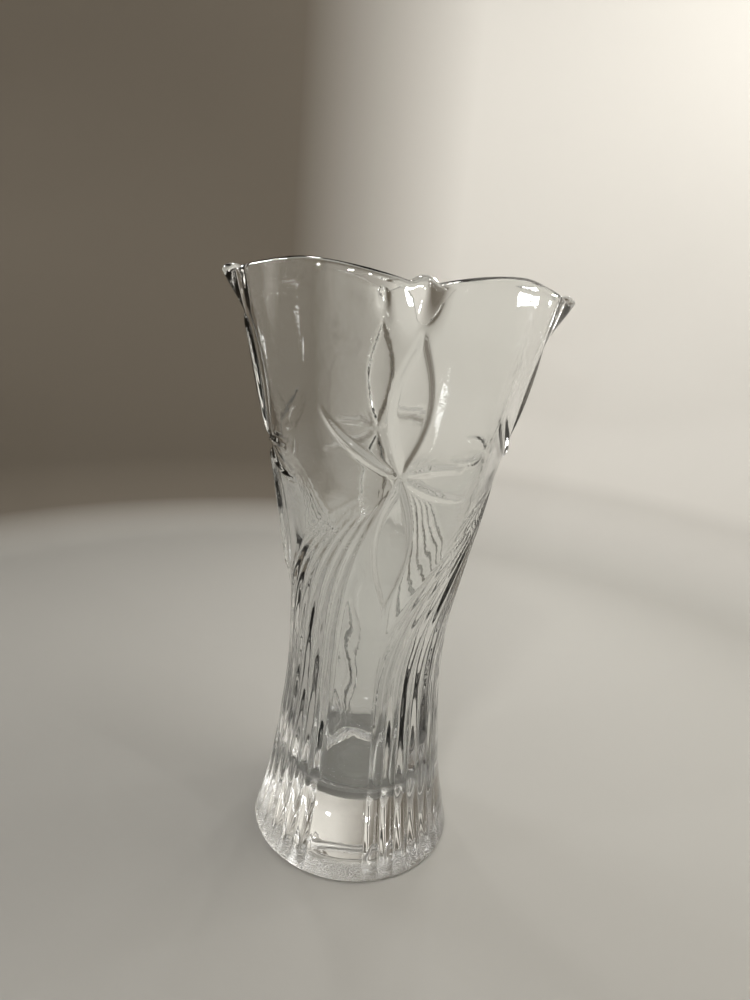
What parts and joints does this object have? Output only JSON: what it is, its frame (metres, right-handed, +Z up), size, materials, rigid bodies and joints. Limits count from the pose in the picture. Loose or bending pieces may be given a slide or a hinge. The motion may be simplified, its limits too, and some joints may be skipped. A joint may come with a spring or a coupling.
{
  "type": "vase",
  "caption": "Clear crystal glass vase: heavy round foot, narrow fluted waist and a flared mouth drawn out to pinched corners, for holding cut flowers.",
  "frame": {"origin": "centre of the ring-shaped face under the foot, in the plane the vase stands on", "axes": "+Z up along the vase's axis; the rim's four corners point along +X, -X, +Y and -Y"},
  "size_m": [0.168, 0.168, 0.3],
  "materials": {
    "crystal": "clear lead crystal, fire polished, with moulded flutes and flowers in relief"
  },
  "bodies": {
    "root": {"solid_foot": "crystal", "waist_wall": "crystal", "bowl_wall": "crystal", "corner_rim": "crystal"}
  },
  "joints": []
}
